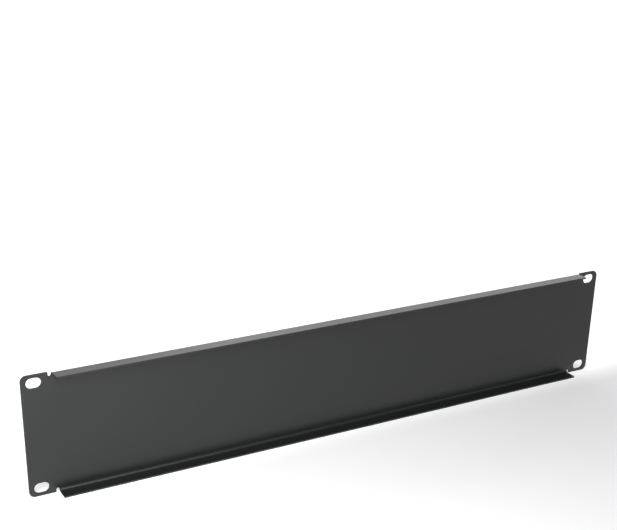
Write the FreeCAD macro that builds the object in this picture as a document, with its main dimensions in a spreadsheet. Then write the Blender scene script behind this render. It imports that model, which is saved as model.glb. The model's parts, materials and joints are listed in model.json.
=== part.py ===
import FreeCAD, Part
import math
import os

import Sketcher

# Rack blanking panel: one sheet of steel, folded back along its top and bottom edges.
#
# Millimetres. +X runs along the panel, +Z up. The smooth front face looks towards -Y and the
# two flanges point towards +Y, into the rack. The origin is the middle of the four screw
# slots, on the rear face of the sheet, where the ears bear on the rack's rails.

# Driving sizes: name, value and what it is. Every other size follows from these.
SIZES = [
    ("rack_unit", "44.45", "height of one rack unit"),
    ("unit_count", "2", "rack units that the panel closes"),
    ("stack_gap", "0.8", "how much lower the panel is than its rack units"),
    ("panel_width", "482.6", "width over both ears"),
    ("ear_bearing", "16.3", "how far each ear covers the rack's rail"),
    ("flange_side_gap", "4.35", "from the rail's inner side to the flange's end"),
    ("overall_depth", "11.5", "front face to the flanges' free edges"),
    ("sheet_thickness", "1.2", "thickness of the sheet"),
    ("bend_radius", "1.8", "inside radius of both folds"),
    ("ear_corner_radius", "4.4", "rounded outer corners of the ears"),
    ("relief_width", "2.2", "width of the bend relief between flange and ear"),
    ("relief_margin", "0.1", "how far the relief reaches past the fold's line"),
    ("slot_end_distance", "8.75", "screw slot's centre to the panel's end"),
    ("slot_unit_distance", "6.35", "screw slot's centre to the edge of its rack unit"),
    ("slot_length", "10.3", "screw slot, end to end"),
    ("slot_width", "7.2", "screw slot, across"),
    ("edge_round", "0.3", "rounding of the free edges under the coating"),
]

# Sizes that follow, as expressions on the sheet.
HALF_HEIGHT = "((sizes.unit_count * sizes.rack_unit - sizes.stack_gap) / 2)"
OUTSIDE_BEND_RADIUS = "(sizes.bend_radius + sizes.sheet_thickness)"
HALF_WIDTH = "(sizes.panel_width / 2)"
FLANGE_END = f"({HALF_WIDTH} - sizes.ear_bearing - sizes.flange_side_gap)"
RELIEF_CENTRE = f"({FLANGE_END} + sizes.relief_width / 2)"
RELIEF_DEPTH = f"({OUTSIDE_BEND_RADIUS} + sizes.relief_margin)"
SLOT_PLACE = f"({HALF_WIDTH} - sizes.slot_end_distance)"
SLOT_HEIGHT = "(sizes.unit_count * sizes.rack_unit / 2 - sizes.slot_unit_distance)"
SLOT_STRAIGHT = "(sizes.slot_length - sizes.slot_width)"

# How Sketcher numbers a sketch's own axes and origin, and the points on an edge.
AXIS = {"horizontal": -1, "vertical": -2}
START, END, CENTRE = range(1, 4)
ORIGIN = (AXIS["horizontal"], START)


class Profile:
    """A closed outline in a sketch, drawn edge by edge and sized from the sheet."""

    def __init__(self, body, name, plane_role):
        self.sketch = body.newObject("Sketcher::SketchObject", name)
        self.sketch.AttachmentSupport = (origin_feature(body, plane_role), [""])
        self.sketch.MapMode = "FlatFace"

    def line(self, start, end):
        """Add a straight edge and return its number."""
        edge = Part.LineSegment(FreeCAD.Vector(*start, 0), FreeCAD.Vector(*end, 0))
        return self.sketch.addGeometry(edge, False)

    def arc(self, centre, radius, start_degrees, end_degrees):
        """Add an anticlockwise arc and return its number."""
        circle = Part.Circle(FreeCAD.Vector(*centre, 0), FreeCAD.Vector(0, 0, 1), radius)
        start, end = math.radians(start_degrees), math.radians(end_degrees)
        return self.sketch.addGeometry(Part.ArcOfCircle(circle, start, end), False)

    def rule(self, kind, *references):
        """Add a rule without a size, such as Horizontal or Tangent."""
        self.sketch.addConstraint(Sketcher.Constraint(kind, *references))

    def rules(self, kind, *groups):
        """Add the same rule to several groups of references."""
        for references in groups:
            self.rule(kind, *references)

    def size(self, name, kind, references, expression):
        """Add a named dimension that the sheet drives."""
        number = self.sketch.addConstraint(
            Sketcher.Constraint(kind, *references, evaluate(expression))
        )
        self.sketch.renameConstraint(number, name)
        self.sketch.setExpression(f"Constraints.{name}", expression)

    def finish(self):
        """Solve the sketch and refuse one that is loose or contradicts itself."""
        self.sketch.Document.recompute()
        if self.sketch.solve() != 0 or not self.sketch.FullyConstrained:
            raise RuntimeError(f"sketch {self.sketch.Name} isn't fully constrained")
        return self.sketch


def evaluate(expression):
    """The present value of an expression on the sheet."""
    return float(sizes.evalExpression(expression))


def origin_feature(body, role):
    """A body's own origin plane or axis, by its role."""
    return next(item for item in body.Origin.OriginFeatures if item.Role == role)


def make_sizes():
    """The spreadsheet of driving sizes, with an alias for each value."""
    sheet = document.addObject("Spreadsheet::Sheet", "sizes")
    for row, (alias, value, meaning) in enumerate(SIZES, start=1):
        sheet.set(f"A{row}", meaning)
        sheet.set(f"B{row}", value)
        sheet.setAlias(f"B{row}", alias)
    document.recompute()
    return sheet


def fold_profile(body):
    """The folded section: web, two bends and two flanges, seen along X."""
    half_height = evaluate(HALF_HEIGHT)
    thickness = evaluate("sizes.sheet_thickness")
    inside = evaluate("sizes.bend_radius")
    outside = evaluate(OUTSIDE_BEND_RADIUS)
    front = -thickness
    reach = evaluate("sizes.overall_depth") - thickness
    bend_line = half_height - outside
    inner_face = half_height - thickness

    profile = Profile(body, "fold_profile", "YZ_Plane")
    front_face = profile.line((front, -bend_line), (front, bend_line))
    top_bend_outside = profile.arc((inside, bend_line), outside, 90, 180)
    top_face = profile.line((inside, half_height), (reach, half_height))
    top_edge = profile.line((reach, half_height), (reach, inner_face))
    top_inner_face = profile.line((reach, inner_face), (inside, inner_face))
    top_bend_inside = profile.arc((inside, bend_line), inside, 90, 180)
    rear_face = profile.line((0, bend_line), (0, -bend_line))
    low_bend_inside = profile.arc((inside, -bend_line), inside, 180, 270)
    low_inner_face = profile.line((inside, -inner_face), (reach, -inner_face))
    low_edge = profile.line((reach, -inner_face), (reach, -half_height))
    low_face = profile.line((reach, -half_height), (inside, -half_height))
    low_bend_outside = profile.arc((inside, -bend_line), outside, 180, 270)

    profile.rules(
        "Tangent",
        (front_face, END, top_bend_outside, END),
        (top_bend_outside, START, top_face, START),
        (top_inner_face, END, top_bend_inside, START),
        (top_bend_inside, END, rear_face, START),
        (rear_face, END, low_bend_inside, START),
        (low_bend_inside, END, low_inner_face, START),
        (low_face, END, low_bend_outside, END),
        (low_bend_outside, START, front_face, START),
    )
    profile.rules(
        "Coincident",
        (top_face, END, top_edge, START),
        (top_edge, END, top_inner_face, START),
        (low_inner_face, END, low_edge, START),
        (low_edge, END, low_face, START),
        (top_bend_outside, CENTRE, top_bend_inside, CENTRE),
        (low_bend_outside, CENTRE, low_bend_inside, CENTRE),
    )
    profile.rules("Vertical", (front_face,), (rear_face,), (top_edge,), (low_edge,))
    profile.rules(
        "Horizontal", (top_face,), (top_inner_face,), (low_face,), (low_inner_face,)
    )
    profile.rule("PointOnObject", rear_face, START, AXIS["vertical"])
    profile.rule("Symmetric", top_face, END, low_face, START, AXIS["horizontal"])
    profile.rule("Equal", top_bend_inside, low_bend_inside)

    profile.size(
        "thickness",
        "DistanceX",
        (front_face, START, rear_face, START),
        "sizes.sheet_thickness",
    )
    profile.size("inside_radius", "Radius", (top_bend_inside,), "sizes.bend_radius")
    profile.size(
        "depth", "DistanceX", (front_face, START, top_face, END), "sizes.overall_depth"
    )
    profile.size(
        "height", "DistanceY", (low_face, START, top_face, END), f"2 * {HALF_HEIGHT}"
    )
    return profile.finish()


def ear_profile(body):
    """One ear, from the middle of the bend reliefs to its rounded outer corners."""
    half_height = evaluate(HALF_HEIGHT)
    inner = evaluate(RELIEF_CENTRE)
    outer = evaluate(HALF_WIDTH)
    radius = evaluate("sizes.ear_corner_radius")
    corner_x, corner_z = outer - radius, half_height - radius

    profile = Profile(body, "ear_profile", "XZ_Plane")
    inner_side = profile.line((inner, half_height), (inner, -half_height))
    low_side = profile.line((inner, -half_height), (corner_x, -half_height))
    low_corner = profile.arc((corner_x, -corner_z), radius, 270, 360)
    outer_side = profile.line((outer, -corner_z), (outer, corner_z))
    top_corner = profile.arc((corner_x, corner_z), radius, 0, 90)
    top_side = profile.line((corner_x, half_height), (inner, half_height))

    profile.rules(
        "Tangent",
        (low_side, END, low_corner, START),
        (low_corner, END, outer_side, START),
        (outer_side, END, top_corner, START),
        (top_corner, END, top_side, START),
    )
    profile.rules(
        "Coincident",
        (top_side, END, inner_side, START),
        (inner_side, END, low_side, START),
    )
    profile.rules("Horizontal", (low_side,), (top_side,))
    profile.rule("Vertical", outer_side)
    profile.rule("Symmetric", inner_side, START, inner_side, END, AXIS["horizontal"])
    profile.rule("Equal", low_corner, top_corner)

    profile.size("corner", "Radius", (top_corner,), "sizes.ear_corner_radius")
    profile.size(
        "height", "DistanceY", (inner_side, END, inner_side, START), f"2 * {HALF_HEIGHT}"
    )
    profile.size("inner", "DistanceX", (*ORIGIN, inner_side, START), RELIEF_CENTRE)
    profile.size("outer", "DistanceX", (*ORIGIN, outer_side, END), HALF_WIDTH)
    return profile.finish()


def relief_profile(body):
    """One bend relief: a notch with a full round end, open at the panel's top edge."""
    radius = evaluate("sizes.relief_width / 2")
    centre_x = evaluate(RELIEF_CENTRE)
    centre_z = evaluate(f"{HALF_HEIGHT} - {RELIEF_DEPTH} + sizes.relief_width / 2")
    mouth = evaluate(f"{HALF_HEIGHT} + sizes.sheet_thickness")
    left, right = centre_x - radius, centre_x + radius

    profile = Profile(body, "relief_profile", "XZ_Plane")
    round_end = profile.arc((centre_x, centre_z), radius, 180, 360)
    ear_side = profile.line((right, centre_z), (right, mouth))
    mouth_side = profile.line((right, mouth), (left, mouth))
    flange_side = profile.line((left, mouth), (left, centre_z))

    profile.rules(
        "Tangent",
        (round_end, END, ear_side, START),
        (flange_side, END, round_end, START),
    )
    profile.rules(
        "Coincident",
        (ear_side, END, mouth_side, START),
        (mouth_side, END, flange_side, START),
    )
    profile.rules("Vertical", (ear_side,), (flange_side,))
    profile.rule("Horizontal", mouth_side)

    profile.size("radius", "Radius", (round_end,), "sizes.relief_width / 2")
    profile.size("place", "DistanceX", (*ORIGIN, round_end, CENTRE), RELIEF_CENTRE)
    profile.size(
        "depth",
        "DistanceY",
        (*ORIGIN, round_end, CENTRE),
        f"{HALF_HEIGHT} - {RELIEF_DEPTH} + sizes.relief_width / 2",
    )
    profile.size(
        "mouth",
        "DistanceY",
        (*ORIGIN, ear_side, END),
        f"{HALF_HEIGHT} + sizes.sheet_thickness",
    )
    return profile.finish()


def slot_profile(body):
    """One obround screw slot, long side level."""
    radius = evaluate("sizes.slot_width / 2")
    middle_x = evaluate(SLOT_PLACE)
    middle_z = evaluate(SLOT_HEIGHT)
    half_straight = evaluate(f"{SLOT_STRAIGHT} / 2")
    left, right = middle_x - half_straight, middle_x + half_straight
    low, top = middle_z - radius, middle_z + radius

    profile = Profile(body, "slot_profile", "XZ_Plane")
    low_side = profile.line((left, low), (right, low))
    outer_end = profile.arc((right, middle_z), radius, -90, 90)
    top_side = profile.line((right, top), (left, top))
    inner_end = profile.arc((left, middle_z), radius, 90, 270)

    profile.rules(
        "Tangent",
        (low_side, END, outer_end, START),
        (outer_end, END, top_side, START),
        (top_side, END, inner_end, START),
        (inner_end, END, low_side, START),
    )
    profile.rules("Horizontal", (low_side,), (top_side,))

    profile.size("radius", "Radius", (outer_end,), "sizes.slot_width / 2")
    profile.size(
        "straight", "DistanceX", (low_side, START, low_side, END), SLOT_STRAIGHT
    )
    profile.size(
        "place",
        "DistanceX",
        (*ORIGIN, inner_end, CENTRE),
        f"{SLOT_PLACE} - {SLOT_STRAIGHT} / 2",
    )
    profile.size("height", "DistanceY", (*ORIGIN, inner_end, CENTRE), SLOT_HEIGHT)
    return profile.finish()


def cut_through(body, name, profile):
    """Cut a profile through everything in front of it and behind it."""
    before = body.Shape.Volume
    pocket = body.newObject("PartDesign::Pocket", name)
    pocket.Profile = profile
    pocket.Type = "ThroughAll"
    pocket.SideType = "Symmetric"
    document.recompute()
    if pocket.Shape.Volume >= before:
        raise RuntimeError(f"{name} cut nothing")
    return pocket


def repeat_at_four_corners(body, name, original):
    """Mirror a feature left to right and then top to bottom."""
    left_right = document.addObject("PartDesign::Mirrored", f"{name}_left_right")
    left_right.MirrorPlane = (origin_feature(body, "YZ_Plane"), [""])
    top_bottom = document.addObject("PartDesign::Mirrored", f"{name}_top_bottom")
    top_bottom.MirrorPlane = (origin_feature(body, "XY_Plane"), [""])
    pattern = body.newObject("PartDesign::MultiTransform", name)
    pattern.Originals = [original]
    pattern.Transformations = [left_right, top_bottom]
    body.Tip = pattern
    document.recompute()
    return pattern


def free_edges(shape):
    """Names of the edges to round: the flanges' free edges and the ears' outlines."""
    thickness = evaluate("sizes.sheet_thickness")
    near = thickness / 1000
    reach = evaluate("sizes.overall_depth") - thickness
    ear_start = evaluate(f"{RELIEF_CENTRE} + sizes.relief_width / 2")
    names = []
    for number, edge in enumerate(shape.Edges, start=1):
        box = edge.BoundBox
        near_x, far_x = sorted((abs(box.XMin), abs(box.XMax)))
        level = box.YLength < near
        on_flange_edge = level and abs(box.YMax - reach) < near and box.XLength > ear_start
        on_sheet_face = level and min(abs(box.YMax), abs(box.YMax + thickness)) < near
        on_ear = near_x > ear_start - near and far_x > ear_start + near
        if on_flange_edge or (on_sheet_face and on_ear):
            names.append(f"Edge{number}")
    return names


def make_panel():
    """The folded panel: channel, two ears, four reliefs, four slots and rounded edges."""
    body = document.addObject("PartDesign::Body", "panel")
    body.Label = "panel"

    channel = body.newObject("PartDesign::Pad", "channel")
    channel.Profile = fold_profile(body)
    channel.SideType = "Symmetric"
    channel.setExpression("Length", f"2 * {RELIEF_CENTRE}")
    document.recompute()

    ear = body.newObject("PartDesign::Pad", "right_ear")
    ear.Profile = ear_profile(body)
    ear.setExpression("Length", "sizes.sheet_thickness")
    document.recompute()

    both_ears = body.newObject("PartDesign::Mirrored", "left_ear")
    both_ears.Originals = [ear]
    both_ears.MirrorPlane = (origin_feature(body, "YZ_Plane"), [""])
    body.Tip = both_ears
    document.recompute()

    relief = cut_through(body, "bend_relief", relief_profile(body))
    reliefs = repeat_at_four_corners(body, "bend_reliefs", relief)

    rounding = body.newObject("PartDesign::Fillet", "rounded_free_edges")
    rounding.Base = (reliefs, free_edges(reliefs.Shape))
    rounding.setExpression("Radius", "sizes.edge_round")
    document.recompute()

    slot = cut_through(body, "screw_slot", slot_profile(body))
    repeat_at_four_corners(body, "screw_slots", slot)
    body.Placement = FreeCAD.Placement()
    document.recompute()
    return body


def check_document():
    """Stop if any object of the document failed to recompute."""
    for item in document.Objects:
        if "Invalid" in item.State or "Error" in item.State:
            raise RuntimeError(f"{item.Name} is {item.State}")


def write_part(body):
    """Check one sub-part's shape and write its STEP file."""
    shape = body.Shape
    if shape.isNull() or not shape.isValid() or len(shape.Solids) != 1:
        raise RuntimeError(f"{body.Label} isn't one valid solid")
    shape.exportStep(f"parts/{body.Label}.step")
    print(f"{body.Label}: {shape.Volume:.1f} mm3, {len(shape.Faces)} faces")


os.makedirs("parts", exist_ok=True)
document = FreeCAD.newDocument("rack_blanking_panel")
sizes = make_sizes()
panel = make_panel()
check_document()
write_part(panel)
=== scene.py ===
"""A rack blanking panel of folded, powder-coated sheet steel, dressed and lit.

The panel is one sheet. Its visible skin is worked out on the flat pattern, before the sheet
is bent: a point there has a place along the panel (x), a place across it (w) and a height in
the sheet's thickness (n). One formula then folds every point into the frame.
"""

import json
import logging
import math
from dataclasses import dataclass
from enum import Enum

import bpy
import numpy as np
from mathutils import Euler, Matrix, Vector


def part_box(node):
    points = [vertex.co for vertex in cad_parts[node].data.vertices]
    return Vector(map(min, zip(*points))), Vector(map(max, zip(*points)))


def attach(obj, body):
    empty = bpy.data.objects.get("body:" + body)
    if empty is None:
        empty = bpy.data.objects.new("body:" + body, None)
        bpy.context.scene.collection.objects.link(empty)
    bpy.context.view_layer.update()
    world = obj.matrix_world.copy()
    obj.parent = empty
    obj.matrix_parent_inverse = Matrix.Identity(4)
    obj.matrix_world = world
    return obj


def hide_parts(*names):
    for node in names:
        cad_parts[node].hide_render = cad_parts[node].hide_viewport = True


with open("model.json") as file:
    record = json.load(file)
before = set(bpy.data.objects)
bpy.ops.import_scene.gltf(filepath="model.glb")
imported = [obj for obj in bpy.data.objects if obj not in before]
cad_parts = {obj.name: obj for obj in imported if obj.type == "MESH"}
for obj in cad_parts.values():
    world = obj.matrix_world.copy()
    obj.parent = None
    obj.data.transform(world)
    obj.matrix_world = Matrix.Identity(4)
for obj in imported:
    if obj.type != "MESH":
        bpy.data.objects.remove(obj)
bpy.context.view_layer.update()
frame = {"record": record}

MM = 0.001
NODE = "panel"
SEAM_GAP = 0.0005 * MM  # points of the skin that lie nearer than this are one point
WHITE = (1.0, 1.0, 1.0, 1.0)
log = logging.getLogger("rack_blanking_panel")

Colour = tuple[float, float, float, float]
Place = tuple[float, float, float]
Reach = tuple[float, float]


class Face(Enum):
    """The two faces of the sheet, by the sign of n."""

    FRONT = -1
    REAR = 1


class Finish(Enum):
    """How thickly a part of the sheet is coated, by its material's number on the mesh."""

    FULL_COAT = 0
    THIN_COAT = 1


@dataclass(frozen=True)
class Sheet:
    """Sizes of the folded sheet, in metres.

    Args:
        half_width: Middle of the panel to the end of an ear.
        half_height: Middle of the panel to the outside of a flange.
        thickness: Thickness of the sheet.
        reach: Rear face of the sheet to the flanges' free edges.
        slot_x: Middle of the panel to a slot's centre, along the panel.
        slot_w: Middle of the panel to a slot's centre, across it.
        slot_length: A screw slot, end to end.
        slot_width: A screw slot, across.
        inside_bend: Inside radius of both folds.
        flange_end: Middle of the panel to a flange's end.
        relief_radius: Half the width of a bend relief.
        relief_depth: Top of the ear to the bottom of a bend relief.
        ear_corner: Radius of an ear's outer corners.
        cut_corner: Radius of the corners beside a bend relief.
        edge_round: Radius that the coat gives to every cut edge.
    """

    half_width: float
    half_height: float
    thickness: float
    reach: float
    slot_x: float
    slot_w: float
    slot_length: float
    slot_width: float
    inside_bend: float = 1.8 * MM
    flange_end: float = 220.65 * MM
    relief_radius: float = 1.1 * MM
    relief_depth: float = 3.1 * MM
    ear_corner: float = 4.4 * MM
    cut_corner: float = 0.5 * MM
    edge_round: float = 0.12 * MM

    @classmethod
    def from_frame(cls) -> "Sheet":
        """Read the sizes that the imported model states.

        Returns:
            The sheet, with its outer sizes from the node's box and its slots from the mount.
        """
        low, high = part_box(NODE)
        mounts = {mount["name"]: mount for mount in frame["record"]["mounts"]}
        slots = mounts["rack_slots"]["dims"]
        return cls(
            half_width=high[0],
            half_height=high[2],
            thickness=-low[1],
            reach=high[1],
            slot_x=slots["spacing_x_mm"] / 2 * MM,
            slot_w=slots["spacing_y_mm"] / 2 * MM,
            slot_length=slots["slot_length_mm"] * MM,
            slot_width=2 * slots["hole_r_mm"] * MM,
        )

    @property
    def middle_bend(self) -> float:
        """Radius of a fold at the middle of the sheet."""
        return self.inside_bend + self.thickness / 2

    @property
    def bend_start(self) -> float:
        """Where a fold starts, across the panel."""
        return self.half_height - self.thickness - self.inside_bend

    @property
    def bend_end(self) -> float:
        """Where a fold ends, across the flat pattern."""
        return self.bend_start + self.middle_bend * math.pi / 2

    @property
    def flange_edge(self) -> float:
        """A flange's free edge, across the flat pattern."""
        return self.bend_end + self.reach - self.inside_bend

    @property
    def relief_x(self) -> float:
        """Middle of a bend relief, along the panel."""
        return self.flange_end + self.relief_radius

    @property
    def relief_w(self) -> float:
        """Centre of a bend relief's round end, across the flat pattern."""
        return self.half_height - self.relief_depth + self.relief_radius

    @property
    def ear_start(self) -> float:
        """Where an ear starts, along the panel."""
        return self.relief_x + self.relief_radius


@dataclass(frozen=True)
class Patch:
    """A grid of points on the sheet's skin, in the flat pattern.

    Args:
        x: Place along the panel, one row of the array for each row of the grid.
        w: Place across the panel.
        n: Height in the sheet's thickness, from its middle towards the rear.
        normal: The outward direction as (x, w, n), with one more axis than the others.
        finish: How thickly it is coated.
    """

    x: np.ndarray
    w: np.ndarray
    n: np.ndarray
    normal: np.ndarray
    finish: Finish = Finish.FULL_COAT


def steps(*stops: float, pieces: int | tuple[int, ...]) -> np.ndarray:
    """Values that run through some stops, each stretch divided evenly.

    Args:
        stops: The values to pass through, in order.
        pieces: How many parts to divide each stretch into, or one number for all.

    Returns:
        The values, with each stop in it once.
    """
    counts = (pieces,) * (len(stops) - 1) if isinstance(pieces, int) else pieces
    runs = [
        np.linspace(start, end, count, endpoint=False)
        for start, end, count in zip(stops, stops[1:], counts)
    ]
    return np.concatenate([*runs, stops[-1:]])


def turn(start: float, end: float, pieces: int) -> np.ndarray:
    """Angles in radians from start to end, which are in degrees."""
    return np.radians(np.linspace(start, end, pieces + 1))


class FoldedPanel:
    """The panel's skin: both faces, the cut edges, the reliefs and the slots.

    The numbers of pieces say how finely each stretch of the mesh is divided.
    """

    LENGTH_PIECES = 48  # along the web, from the middle to a flange's end
    MIDDLE_PIECES = 6  # across the web, from the middle to the cell round a slot
    SIDE_PIECES = 8  # beside a slot's cell, up to the fold
    FOLD_START_PIECES = 4  # the fold beside the relief
    FOLD_PIECES = 10  # the fold past the relief
    FLANGE_PIECES = 6  # the flat of a flange
    CORNER_PIECES = 5  # a flange's corner
    RELIEF_PIECES = 20  # a relief's round end
    EAR_PIECES = 10  # along an ear
    EAR_END_PIECES = 8  # an ear's outer end, beside the slot
    EAR_TOP_PIECES = 12  # an ear's long edge
    EAR_WALL_PIECES = 4  # an ear's edge beside the relief
    ARC_PIECES = 12  # an ear's outer corner
    ROUND_PIECES = 4  # a small rounding
    RING_STEPS = (0.0, 0.12, 0.35, 1.0)  # from a slot's outline to its cell's boundary
    SLOT_CELL = 10.5 * MM  # how far below a slot's centre its cell of mesh reaches
    LEAST_SINE = 1e-9  # keeps a ray along the panel from a division by zero

    def __init__(self, sheet: Sheet) -> None:
        """Work out the rows that all patches share.

        Args:
            sheet: Sizes of the sheet.
        """
        self.sheet = sheet
        self.cell_w = sheet.slot_w - self.SLOT_CELL
        self.low_rows = steps(0.0, self.cell_w, pieces=self.MIDDLE_PIECES)
        self.side_rows = steps(
            self.cell_w,
            sheet.bend_start,
            sheet.relief_w,
            pieces=(self.SIDE_PIECES, self.FOLD_START_PIECES),
        )
        inset = sheet.edge_round
        corner = sheet.cut_corner - inset
        rise = corner * np.sin(turn(0, 90, self.CORNER_PIECES))
        self.corner_rows = sheet.flange_edge - inset - corner + rise
        self.fold_rows = steps(
            sheet.relief_w,
            sheet.bend_end,
            self.corner_rows[0],
            pieces=(self.FOLD_PIECES, self.FLANGE_PIECES),
        )

    def fold(self, patch: Patch) -> tuple[np.ndarray, np.ndarray]:
        """Fold the flat pattern into the frame.

        Short of the bend a point keeps its place. In the bend it turns about the fold's axis
        by its distance past the bend's start, divided by the radius at the middle of the
        sheet, and keeps its own distance from that axis. Past the bend it goes straight back.
        The ears, past the middle of the reliefs, stay flat.

        Args:
            patch: Points of the flat pattern.

        Returns:
            The points and their outward directions, each as rows of (x, y, z).
        """
        sheet = self.sheet
        bent = patch.x < sheet.relief_x
        past = np.where(bent, patch.w - sheet.bend_start, 0.0).clip(min=0.0)
        angle = np.minimum(past / sheet.middle_bend, math.pi / 2)
        straight = past - angle * sheet.middle_bend
        radius = sheet.middle_bend - patch.n
        sine, cosine = np.sin(angle), np.cos(angle)
        y = sheet.inside_bend - radius * cosine + straight
        z = patch.w - past + radius * sine
        along, across, through = np.moveaxis(patch.normal, -1, 0)
        points = np.stack([patch.x, y, z], axis=-1)
        normals = np.stack(
            [
                along,
                across * sine + through * cosine,
                across * cosine - through * sine,
            ],
            axis=-1,
        )
        return points, normals

    def face_patch(self, x: np.ndarray, w: np.ndarray, face: Face) -> Patch:
        """A part of one face: points at half the thickness, all facing straight out."""
        n = np.full_like(x, face.value * self.sheet.thickness / 2)
        normal = np.zeros((*x.shape, 3))
        normal[..., 2] = face.value
        return Patch(x, w, n, normal)

    def main_field(self) -> tuple[np.ndarray, np.ndarray]:
        """Web, bend and flange, from the middle of the panel to the flange's end.

        Each row runs from the middle to its own end. That end is straight up to the flange's
        corner and then follows a quarter circle, cosine along and sine across.

        Returns:
            Places along and across the panel.
        """
        sheet = self.sheet
        inset = sheet.edge_round
        corner = sheet.cut_corner - inset
        rows = np.concatenate(
            [self.low_rows, self.side_rows[1:], self.fold_rows[1:], self.corner_rows[1:]]
        )
        rise = (rows - (sheet.flange_edge - inset - corner)).clip(0.0, corner)
        ends = sheet.flange_end - inset - corner + np.sqrt(corner**2 - rise**2)
        share = np.linspace(0.0, 1.0, self.LENGTH_PIECES + 1)
        x = ends[:, None] * share[None, :]
        return x, np.broadcast_to(rows[:, None], x.shape)

    def relief_field(self) -> tuple[np.ndarray, np.ndarray]:
        """The web under a bend relief.

        Its columns end on the relief's round end, a half circle that hangs from the relief's
        centre, and its rows are the neighbours' rows in proportion to the column's height.

        Returns:
            Places along and across the panel.
        """
        sheet = self.sheet
        radius = sheet.relief_radius + sheet.edge_round
        angle = turn(180, 360, self.RELIEF_PIECES)
        ends_x = sheet.relief_x + radius * np.cos(angle)
        ends_w = sheet.relief_w + radius * np.sin(angle)
        rows = np.concatenate([self.low_rows, self.side_rows[1:]])
        w = (rows / sheet.relief_w)[:, None] * ends_w[None, :]
        return np.broadcast_to(ends_x[None, :], w.shape), w

    def ear_field(self) -> tuple[np.ndarray, np.ndarray]:
        """The plain stretch of an ear between its two slots, an even grid.

        Returns:
            Places along and across the panel.
        """
        x, w = np.meshgrid(self.ear_columns(), self.low_rows)
        return x, w

    def ear_columns(self) -> np.ndarray:
        """Places along the panel that divide an ear, short of its rounded edges."""
        inset = self.sheet.edge_round
        start, end = self.sheet.ear_start + inset, self.sheet.half_width - inset
        return steps(start, end, pieces=self.EAR_PIECES)

    def ear_outline(self) -> tuple[np.ndarray, np.ndarray]:
        """The free outline of an ear, from its outer end over the top to the relief.

        Returns:
            Points (x, w) set in by the edge's rounding, and the outward directions there.
        """
        sheet = self.sheet
        inset = sheet.edge_round
        outer_centre = (sheet.half_width - sheet.ear_corner, sheet.half_height - sheet.ear_corner)
        inner_centre = (sheet.ear_start + sheet.cut_corner, sheet.half_height - sheet.cut_corner)
        outer = turn(0, 90, self.ARC_PIECES)
        inner = turn(90, 180, self.ROUND_PIECES)
        side = steps(self.cell_w, outer_centre[1], pieces=self.EAR_END_PIECES)[:-1]
        top = steps(outer_centre[0], inner_centre[0], pieces=self.EAR_TOP_PIECES)[1:-1]
        wall = steps(inner_centre[1], sheet.relief_w, pieces=self.EAR_WALL_PIECES)[1:]
        runs = [
            self.run(np.full_like(side, sheet.half_width - inset), side, 0.0),
            self.arc_run(outer_centre, sheet.ear_corner - inset, outer),
            self.run(top, np.full_like(top, sheet.half_height - inset), 90.0),
            self.arc_run(inner_centre, sheet.cut_corner - inset, inner),
            self.run(np.full_like(wall, sheet.ear_start + inset), wall, 180.0),
        ]
        points, outward = zip(*runs)
        return np.concatenate(points), np.concatenate(outward)

    @staticmethod
    def run(x: np.ndarray, w: np.ndarray, facing: float) -> tuple[np.ndarray, np.ndarray]:
        """A straight stretch of outline and its outward direction.

        Args:
            x: Places along the panel.
            w: Places across the panel.
            facing: The outward direction, in degrees from +x towards +w.

        Returns:
            Points (x, w) and the outward directions there.
        """
        heading = math.radians(facing)
        outward = np.tile([math.cos(heading), math.sin(heading)], (len(x), 1))
        return np.column_stack([x, w]), outward

    @staticmethod
    def arc_run(
        centre: tuple[float, float], radius: float, angles: np.ndarray
    ) -> tuple[np.ndarray, np.ndarray]:
        """A round stretch of outline: centre plus radius times the heading.

        Args:
            centre: The arc's centre (x, w).
            radius: Its radius.
            angles: Headings in radians.

        Returns:
            Points (x, w) and the outward directions there.
        """
        outward = np.column_stack([np.cos(angles), np.sin(angles)])
        return np.asarray(centre) + radius * outward, outward

    def slot_ring(self) -> tuple[np.ndarray, np.ndarray]:
        """The closed boundary of the cell round a slot.

        Returns:
            Points (x, w) of the cell's boundary, anticlockwise, the first one repeated last,
            and the matching directions from the slot's centre.
        """
        sheet = self.sheet
        columns = self.ear_columns()
        bottom = np.column_stack([columns[:-1], np.full(len(columns) - 1, self.cell_w)])
        outline, _ = self.ear_outline()
        rows = self.side_rows[::-1][1:]
        seam = np.column_stack([np.full_like(rows, columns[0]), rows])
        boundary = np.concatenate([bottom, outline, seam])
        towards = boundary - (sheet.slot_x, sheet.slot_w)
        return boundary, towards / np.linalg.norm(towards, axis=1, keepdims=True)

    def slot_outline(self, towards: np.ndarray) -> tuple[np.ndarray, np.ndarray]:
        """Where rays from a slot's centre meet its outline, set back by the edge's rounding.

        A ray that leaves through a flat side travels the radius over its sine. Any other
        ray meets an end cap: the cap centre's distance along the ray, plus the root of the
        radius squared less the ray's distance from that centre squared.

        Args:
            towards: Unit directions (x, w) from the slot's centre.

        Returns:
            Points (x, w) and the directions out of the metal, into the slot.
        """
        sheet = self.sheet
        radius = sheet.slot_width / 2 + sheet.edge_round
        half_straight = (sheet.slot_length - sheet.slot_width) / 2
        cosine, sine = np.abs(towards[:, 0]), np.abs(towards[:, 1])
        flat = cosine * radius <= sine * half_straight
        to_side = radius / np.maximum(sine, self.LEAST_SINE)
        under_root = (radius**2 - (half_straight * sine) ** 2).clip(min=0.0)
        to_cap = half_straight * cosine + np.sqrt(under_root)
        reach = np.where(flat, to_side, to_cap)
        offset = towards * reach[:, None]
        spine = np.zeros_like(offset)
        spine[:, 0] = offset[:, 0].clip(-half_straight, half_straight)
        return offset + (sheet.slot_x, sheet.slot_w), (spine - offset) / radius

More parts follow.
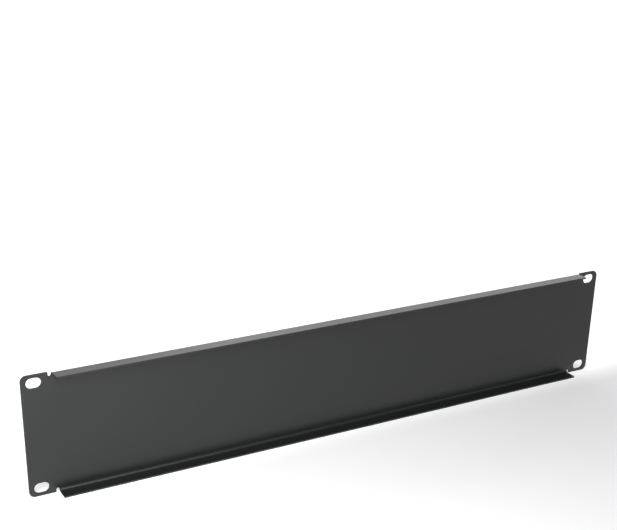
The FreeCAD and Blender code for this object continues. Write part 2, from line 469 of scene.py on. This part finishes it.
    def slot_field(self) -> tuple[np.ndarray, np.ndarray]:
        """The ear round a slot: lines drawn straight from its outline to the cell's boundary.

        Returns:
            Places along and across the panel.
        """
        boundary, towards = self.slot_ring()
        hole, _ = self.slot_outline(towards)
        share = np.array(self.RING_STEPS)[:, None, None]
        ring = hole * (1 - share) + boundary * share
        return ring[..., 0], ring[..., 1]

    def rim(
        self, points: np.ndarray, outward: np.ndarray, finish: Finish = Finish.FULL_COAT
    ) -> Patch:
        """A cut edge: a rounded profile carried along a path.

        From each face the profile follows a quarter circle, out by its sine and down into
        the thickness by one less its cosine, and a plain wall joins the two quarters.

        Args:
            points: The path (x, w), set in by the rounding.
            outward: Directions out of the metal along the path.
            finish: How thickly the edge is coated.

        Returns:
            The edge's skin.
        """
        radius = self.sheet.edge_round
        quarter = turn(0, 90, self.ROUND_PIECES)
        upper = self.sheet.thickness / 2 - radius + radius * np.cos(quarter)
        n = np.concatenate([upper, -upper[::-1]])
        angle = np.concatenate([quarter, math.pi - quarter[::-1]])
        sine, cosine = np.sin(angle), np.cos(angle)
        x = points[:, 0] + radius * sine[:, None] * outward[:, 0]
        w = points[:, 1] + radius * sine[:, None] * outward[:, 1]
        normal = np.stack(
            [
                sine[:, None] * outward[:, 0],
                sine[:, None] * outward[:, 1],
                np.broadcast_to(cosine[:, None], x.shape),
            ],
            axis=-1,
        )
        return Patch(x, w, np.broadcast_to(n[:, None], x.shape), normal, finish)

    def outline_rims(self) -> list[Patch]:
        """The cut edges of a quarter of the panel, from the flange round to the ear's end."""
        sheet = self.sheet
        inset = sheet.edge_round
        field_x, field_w = self.main_field()
        top = self.run(field_x[-1], field_w[-1], 90.0)
        corner_centre = (sheet.flange_end - sheet.cut_corner, sheet.flange_edge - sheet.cut_corner)
        corner_turn = turn(90, 0, self.CORNER_PIECES)
        corner = self.arc_run(corner_centre, sheet.cut_corner - inset, corner_turn)
        end_rows = self.fold_rows[::-1]
        end = self.run(np.full_like(end_rows, sheet.flange_end - inset), end_rows, 0.0)
        centre = (sheet.relief_x, sheet.relief_w)
        angle = turn(180, 360, self.RELIEF_PIECES)
        relief_points, away = self.arc_run(centre, sheet.relief_radius + inset, angle)
        ear_points, ear_outward = self.ear_outline()
        low = self.low_rows
        low_end = self.run(np.full_like(low, sheet.half_width - inset), low, 0.0)
        return [
            self.rim(*top),
            self.rim(*corner, Finish.THIN_COAT),
            self.rim(*end, Finish.THIN_COAT),
            self.rim(relief_points, -away),
            self.rim(ear_points, ear_outward),
            self.rim(*low_end),
        ]

    def patches(self) -> list[Patch]:
        """Every patch of the quarter with positive x and w."""
        fields = [
            self.main_field(),
            self.relief_field(),
            self.ear_field(),
            self.slot_field(),
        ]
        faces = [self.face_patch(x, w, face) for x, w in fields for face in Face]
        _, towards = self.slot_ring()
        towards = np.concatenate([towards, towards[:1]])
        return [*faces, *self.outline_rims(), self.rim(*self.slot_outline(towards))]

    def skin(self) -> tuple[np.ndarray, np.ndarray, np.ndarray, np.ndarray]:
        """Fold every patch, mirror it to four quarters and join the seams.

        Returns:
            Points, outward directions and four-sided faces of the whole panel, and the number
            of each face's material.
        """
        points, normals, quads, finishes, count = [], [], [], [], 0
        for patch in self.patches():
            place, facing = self.fold(patch)
            rows, columns = patch.x.shape
            number = np.arange(rows * columns).reshape(rows, columns)
            grid = np.stack(
                [number[:-1, :-1], number[:-1, 1:], number[1:, 1:], number[1:, :-1]], axis=-1
            ).reshape(-1, 4)
            for flip in ((1, 1, 1), (-1, 1, 1), (1, 1, -1), (-1, 1, -1)):
                quarter = place.reshape(-1, 3) * flip
                outward = facing.reshape(-1, 3) * flip
                corners = quarter[grid]
                diagonals = np.cross(
                    corners[:, 2] - corners[:, 0], corners[:, 3] - corners[:, 1]
                )
                inside_out = (diagonals * outward[grid].sum(axis=1)).sum() < 0
                quads.append((grid[:, ::-1] if inside_out else grid) + count)
                points.append(quarter)
                normals.append(outward)
                finishes.append(np.full(len(grid), patch.finish.value))
                count += len(quarter)
        skin = join_seams(np.concatenate(points), np.concatenate(normals), np.concatenate(quads))
        return *skin, np.concatenate(finishes)

    def build(self, name: str, coats: dict[Finish, "PowderCoat"]) -> bpy.types.Object:
        """Make the panel's object, which stands for the solid panel.

        Args:
            name: The object's name.
            coats: The coat for each finish.

        Returns:
            The new object, at the origin, with its place in its mesh.
        """
        points, normals, quads, finishes = self.skin()
        mesh = bpy.data.meshes.new(name)
        mesh.vertices.add(len(points))
        mesh.vertices.foreach_set("co", points.ravel())
        mesh.loops.add(quads.size)
        mesh.loops.foreach_set("vertex_index", quads.ravel())
        mesh.polygons.add(len(quads))
        mesh.polygons.foreach_set("loop_start", np.arange(0, quads.size, 4))
        mesh.polygons.foreach_set("loop_total", np.full(len(quads), 4))
        for finish in Finish:
            mesh.materials.append(coats[finish].material())
        mesh.polygons.foreach_set("material_index", finishes)
        mesh.update(calc_edges=True)
        mesh.validate()
        mesh.shade_smooth()
        mesh.normals_split_custom_set_from_vertices(normals)
        piece = bpy.data.objects.new(name, mesh)
        bpy.context.collection.objects.link(piece)
        return piece


def join_seams(
    points: np.ndarray, normals: np.ndarray, quads: np.ndarray
) -> tuple[np.ndarray, np.ndarray, np.ndarray]:
    """Make points that lie on each other one point, with the mean of their directions.

    Args:
        points: All points, seams double.
        normals: Their outward directions.
        quads: Faces as rows of point numbers.

    Returns:
        The same three, without doubles.
    """
    key = np.round(points / SEAM_GAP).astype(np.int64)
    _, first, same = np.unique(key, axis=0, return_index=True, return_inverse=True)
    same = same.ravel()
    summed = np.zeros((len(first), 3))
    np.add.at(summed, same, normals)
    summed /= np.linalg.norm(summed, axis=1, keepdims=True)
    return points[first], summed, same[quads]


class Maths:
    """A socket in a node tree that works in Python expressions."""

    def __init__(self, tree: "NodeTree", socket: bpy.types.NodeSocket) -> None:
        """Wrap a socket.

        Args:
            tree: The tree that the socket is in.
            socket: The output that holds the value.
        """
        self.tree = tree
        self.socket = socket

    def apply(self, operation: str, first: object, second: object) -> "Maths":
        """Add a Math node.

        Args:
            operation: The node's operation.
            first: Its first value or socket.
            second: Its second value or socket.

        Returns:
            The result.
        """
        return self.tree.node(
            "ShaderNodeMath", {"operation": operation}, {0: first, 1: second}
        )

    def __add__(self, other: object) -> "Maths":
        """Sum with a value or socket."""
        return self.apply("ADD", self, other)

    def __radd__(self, other: object) -> "Maths":
        """Sum with a value on the left."""
        return self.apply("ADD", other, self)

    def __sub__(self, other: object) -> "Maths":
        """Difference from a value or socket."""
        return self.apply("SUBTRACT", self, other)

    def __rsub__(self, other: object) -> "Maths":
        """Difference from a value on the left."""
        return self.apply("SUBTRACT", other, self)

    def __mul__(self, other: object) -> "Maths":
        """Product with a value or socket."""
        return self.apply("MULTIPLY", self, other)

    def __rmul__(self, other: object) -> "Maths":
        """Product with a value on the left."""
        return self.apply("MULTIPLY", other, self)

    def at_most(self, limit: float) -> "Maths":
        """The value, or the limit where that is less."""
        return self.apply("MINIMUM", self, limit)

    def beside(self, name: str) -> "Maths":
        """Another output of the same node."""
        return Maths(self.tree, self.socket.node.outputs[name])


class NodeTree:
    """A material's or the world's nodes, made one call each."""

    def __init__(self, owner: bpy.types.Material | bpy.types.World) -> None:
        """Empty the owner's tree.

        Args:
            owner: The material or world.
        """
        owner.use_nodes = True
        self.tree = owner.node_tree
        self.tree.nodes.clear()

    def node(
        self, kind: str, settings: dict[str, object], inputs: dict, output: int | str = 0
    ) -> Maths | None:
        """Add a node: its type, then its settings, then its values and links.

        Args:
            kind: The node's type.
            settings: Attributes of the node.
            inputs: A value or a socket for each input, by name or number.
            output: Which output to give back.

        Returns:
            The chosen output, or nothing for a node that ends the tree.
        """
        made = self.tree.nodes.new(kind)
        for name, value in settings.items():
            setattr(made, name, value)
        for name, value in inputs.items():
            if isinstance(value, Maths):
                self.tree.links.new(value.socket, made.inputs[name])
            else:
                made.inputs[name].default_value = value
        return Maths(self, made.outputs[output]) if made.outputs else None


@dataclass(frozen=True)
class PowderCoat:
    """Satin black powder coat over steel: a fine, slightly uneven, half-glossy skin.

    Args:
        name: The material's name.
        slot: The record's material slot.
        colour: The pigment where the coat is deepest.
        thin_colour: The pigment where the coat is thinnest.
        cloud_share: How much of the colour follows the clouds. The rest follows the grains.
        roughness: Roughness in the middle of its range.
        roughness_swing: How far the roughness strays either way.
        specular: Strength of its mirrored light, where 0.5 is usual for paint.
        cloud_scale: Clouds of pigment for each metre.
        cloud_detail: Finer layers of cloud on each other.
        grain_scale: Grains of powder for each metre.
        peel_scale: Ripples of the flowed coat for each metre.
        fine_detail: Finer layers of grain and of ripple on each other.
        layer_weight: Strength of each layer against the one before it.
        grain_height: Height of a grain, in metres.
        peel_height: Height of a ripple, in metres.
    """

    name: str = "satin_black_coat"
    slot: str = "powder_coat"
    colour: Colour = (0.0108, 0.0129, 0.0114, 1.0)
    thin_colour: Colour = (0.0132, 0.0154, 0.0136, 1.0)
    cloud_share: float = 0.7
    roughness: float = 0.35
    roughness_swing: float = 0.03
    specular: float = 0.5
    cloud_scale: float = 22.0
    cloud_detail: float = 3.0
    grain_scale: float = 2600.0
    peel_scale: float = 700.0
    fine_detail: float = 2.0
    layer_weight: float = 0.55
    grain_height: float = 0.006 * MM
    peel_height: float = 0.010 * MM

    @classmethod
    def thin(cls) -> "PowderCoat":
        """The thin, dull coat on a flange's sheared end."""
        return cls("thin_end_coat", roughness=0.75, specular=0.15)

    def noise(self, nodes: NodeTree, place: Maths, scale: float, detail: float) -> Maths:
        """Add noise from 0 to 1 that stays put on the metal.

        Args:
            nodes: The tree to work in.
            place: Object coordinates.
            scale: Its lumps for each metre.
            detail: Finer layers on it.

        Returns:
            The noise.
        """
        return nodes.node(
            "ShaderNodeTexNoise",
            {"noise_dimensions": "3D"},
            {"Vector": place, "Scale": scale, "Detail": detail, "Roughness": self.layer_weight},
        )

    def material(self) -> bpy.types.Material:
        """Make the material.

        Returns:
            The coat: clouds of pigment, uneven roughness, and a bump of grains on ripples.
        """
        made = bpy.data.materials.new(self.name)
        nodes = NodeTree(made)
        place = nodes.node("ShaderNodeTexCoord", {}, {}, "Object")
        clouds = self.noise(nodes, place, self.cloud_scale, self.cloud_detail)
        grain = self.noise(nodes, place, self.grain_scale, self.fine_detail)
        peel = self.noise(nodes, place, self.peel_scale, self.fine_detail)
        thinness = clouds * self.cloud_share + grain * (1.0 - self.cloud_share)
        colour = nodes.node(
            "ShaderNodeMix",
            {"data_type": "RGBA"},
            {0: thinness, 6: self.colour, 7: self.thin_colour},  # factor, first, second colour
            2,  # the colour that comes out
        )
        swing = (clouds + peel - 1.0) * self.roughness_swing
        height = grain * self.grain_height + peel * self.peel_height
        bump = nodes.node(
            "ShaderNodeBump", {}, {"Strength": 1.0, "Distance": 1.0, "Height": height}
        )
        surface = nodes.node(
            "ShaderNodeBsdfPrincipled",
            {},
            {
                "Base Color": colour,
                "Roughness": swing + self.roughness,
                "Specular IOR Level": self.specular,
                "Normal": bump,
            },
        )
        nodes.node("ShaderNodeOutputMaterial", {}, {"Surface": surface})
        return made


@dataclass(frozen=True)
class Softbox:
    """A square of soft light that faces the middle of the panel.

    Args:
        name: The lamp's name.
        place: Its middle, in metres.
        size: Its side, in metres.
        radiance: How bright its face is, where white paper in full light is 1.
    """

    name: str
    place: Place
    size: float
    radiance: float

    def build(self) -> bpy.types.Object:
        """Make the lamp.

        Its power is its radiance times pi times its area, as for a plain glowing sheet.

        Returns:
            The lamp's object.
        """
        lamp = bpy.data.lights.new(self.name, "AREA")
        lamp.shape = "SQUARE"
        lamp.size = self.size
        lamp.energy = self.radiance * math.pi * self.size**2
        made = bpy.data.objects.new(self.name, lamp)
        made.location = self.place
        made.rotation_euler = Vector(self.place).to_track_quat("Z", "Y").to_euler()
        made.visible_camera = False
        bpy.context.collection.objects.link(made)
        return made


@dataclass(frozen=True)
class Studio:
    """A plain pale floor in soft light, with a painted glow and a pool of painted shade on it,
    seen from behind, above and beside the panel.

    Args:
        floor_z: Height of the floor.
        floor_half: Half the floor's side.
        floor_colour: Colour of the floor.
        shade_pool_centre: Middle of a dimmer pool on the floor that the panel's rear face mirrors:
            a painted shade, where the floor glows less, so it looks darker in front of the panel
            and in the rear face's reflection.
        shade_pool_reach: Distances from there where the painted shade is full and where it is
            gone.
        shade_pool_glow: How much brighter than lit the floor looks in the painted shade.
        far_glow: How much brighter it looks outside the pool: a painted glow, which also lightens
            the panel's shadow behind it.
        panel_line: Places along y where the pool is gone and where it is full.
        rim_radiance: Brightness of the surroundings at the horizon.
        top_radiance: Their brightness overhead.
        rim_reach: Sines of the heights where the rim starts to fade and where it is gone.
        softboxes: The lamps.
        camera_place: Where the camera stands.
        camera_turn: How it is turned, in degrees about x, y and z.
        lens: Focal length in millimetres.
        film_width: Width of the film in millimetres.
        rise: How far the film is shifted up, as a share of its width.
    """

    floor_z: float
    floor_half: float = 6.0
    floor_colour: Colour = (0.92, 0.92, 0.92, 1.0)
    # painted shade: the floor glows less in this pool in front of the rear face, so it looks
    # darker there and in the rear face's reflection
    shade_pool_centre: Place = (-0.10, 0.10, 0.0)
    shade_pool_reach: Reach = (0.30, 0.55)
    shade_pool_glow: float = 0.12
    # painted glow: the camera and mirrored rays see the floor this much brighter, which also
    # lightens the panel's shadow
    far_glow: float = 0.70
    panel_line: Reach = (-0.03, 0.03)
    rim_radiance: float = 0.9
    top_radiance: float = 0.0
    rim_reach: Reach = (0.27, 0.37)
    softboxes: tuple[Softbox, ...] = (
        Softbox("key", (0.35, 0.30, 0.28), 0.22, 14.4),
        Softbox("overhead", (0.0, 0.5, 1.2), 0.70, 4.4),
        Softbox("back_middle", (-0.6, -3.9, 1.8), 2.70, 1.17),
        Softbox("back_right", (-2.7, -3.3, 1.8), 2.70, 1.38),
    )
    camera_place: Place = (0.42125, 0.68528, 0.35014)
    camera_turn: tuple[float, float, float] = (66.157, -1.086, 150.732)
    lens: float = 68.82
    film_width: float = 36.0
    rise: float = 0.1831

    def floor(self) -> bpy.types.Object:
        """Make the floor.

        Returns:
            The floor's object, marked as stage.
        """
        half = self.floor_half
        corners = np.array([(-1, -1, 0), (1, -1, 0), (1, 1, 0), (-1, 1, 0)]) * half
        corners[:, 2] = self.floor_z
        mesh = bpy.data.meshes.new("floor")
        mesh.from_pydata(corners.tolist(), [], [(0, 1, 2, 3)])
        mesh.materials.append(self.floor_paper())
        made = bpy.data.objects.new("floor", mesh)
        bpy.context.collection.objects.link(made)
        return made

    def floor_paper(self) -> bpy.types.Material:
        """Make the floor's material.

        Returns:
            Pale paper that keeps the panel's shadow. The camera and mirrored rays see it brighter
            by a painted glow, less so in the pool of painted shade, and it lights nothing with
            that.
        """
        made = bpy.data.materials.new("floor_paper")
        nodes = NodeTree(made)
        paper = nodes.node("ShaderNodeBsdfDiffuse", {}, {"Color": self.floor_colour})
        direct = nodes.node("ShaderNodeLightPath", {}, {}, "Is Camera Ray")
        mirrored = direct.beside("Is Glossy Ray") + direct.beside("Is Transmission Ray")
        seen = (direct + mirrored).at_most(1.0)
        place = nodes.node("ShaderNodeTexCoord", {}, {}, "Object")
        along = nodes.node("ShaderNodeSeparateXYZ", {}, {"Vector": place}, "Y")
        distance = nodes.node(
            "ShaderNodeVectorMath",
            {"operation": "DISTANCE"},
            {0: place, 1: self.shade_pool_centre},
            "Value",
        )
        # painted shade: a dimmer pool of glow on the floor in front of the panel's rear face
        inside = 1.0 - self.smooth_step(nodes, distance, self.shade_pool_reach)
        pool = inside * self.smooth_step(nodes, along, self.panel_line)
        glow = self.far_glow - pool * (self.far_glow - self.shade_pool_glow)
        # painted glow that the camera and mirrored rays see on the floor; it lights nothing
        shine = nodes.node("ShaderNodeEmission", {}, {"Color": WHITE, "Strength": seen * glow})
        both = nodes.node("ShaderNodeAddShader", {}, {0: paper, 1: shine})
        nodes.node("ShaderNodeOutputMaterial", {}, {"Surface": both})
        return made

    @staticmethod
    def smooth_step(nodes: NodeTree, value: Maths, reach: Reach) -> Maths:
        """Rise from 0 to 1, level at both ends.

        Args:
            nodes: The tree to work in.
            value: What it follows.
            reach: The values at which it starts and ends.

        Returns:
            The step.
        """
        return nodes.node(
            "ShaderNodeMapRange",
            {"interpolation_type": "SMOOTHSTEP"},
            {"Value": value, "From Min": reach[0], "From Max": reach[1]},
        )

    def world(self) -> None:
        """Surround the panel with a white rim above the horizon under a dark dome."""
        world = bpy.data.worlds.new("surroundings")
        bpy.context.scene.world = world
        nodes = NodeTree(world)
        heading = nodes.node("ShaderNodeTexCoord", {}, {}, "Generated")
        height = nodes.node("ShaderNodeSeparateXYZ", {}, {"Vector": heading}, "Z")
        fade = self.smooth_step(nodes, height, self.rim_reach)
        radiance = self.rim_radiance + fade * (self.top_radiance - self.rim_radiance)
        sky = nodes.node("ShaderNodeBackground", {}, {"Color": WHITE, "Strength": radiance})
        nodes.node("ShaderNodeOutputWorld", {}, {"Surface": sky})

    def camera(self) -> bpy.types.Object:
        """Make the camera and look through it.

        Returns:
            The camera's object.
        """
        data = bpy.data.cameras.new("camera")
        data.sensor_width = self.film_width
        data.lens = self.lens
        data.shift_y = self.rise
        made = bpy.data.objects.new("camera", data)
        made.location = self.camera_place
        made.rotation_euler = Euler([math.radians(angle) for angle in self.camera_turn])
        bpy.context.collection.objects.link(made)
        bpy.context.scene.camera = made
        return made

    def build(self) -> None:
        """Make the floor, the surroundings, the lamps and the camera."""
        self.floor()
        self.world()
        for softbox in self.softboxes:
            softbox.build()
        self.camera()


def main() -> None:
    """Build the panel, dress it and set it in the studio."""
    logging.basicConfig(level=logging.INFO, format="%(name)s: %(message)s")
    sheet = Sheet.from_frame()
    coat = PowderCoat()
    coats = {Finish.FULL_COAT: coat, Finish.THIN_COAT: PowderCoat.thin()}
    panel = FoldedPanel(sheet).build("folded_sheet", coats)
    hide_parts(NODE)
    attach(panel, "root")
    log.info("%s: %d faces in %s", panel.name, len(panel.data.polygons), coat.slot)

    studio = Studio(floor_z=-sheet.half_height)
    studio.build()
    log.info("studio: %d softboxes", len(studio.softboxes))

    bpy.context.scene.view_settings.view_transform = "Standard"


if __name__ == "__main__":
    main()
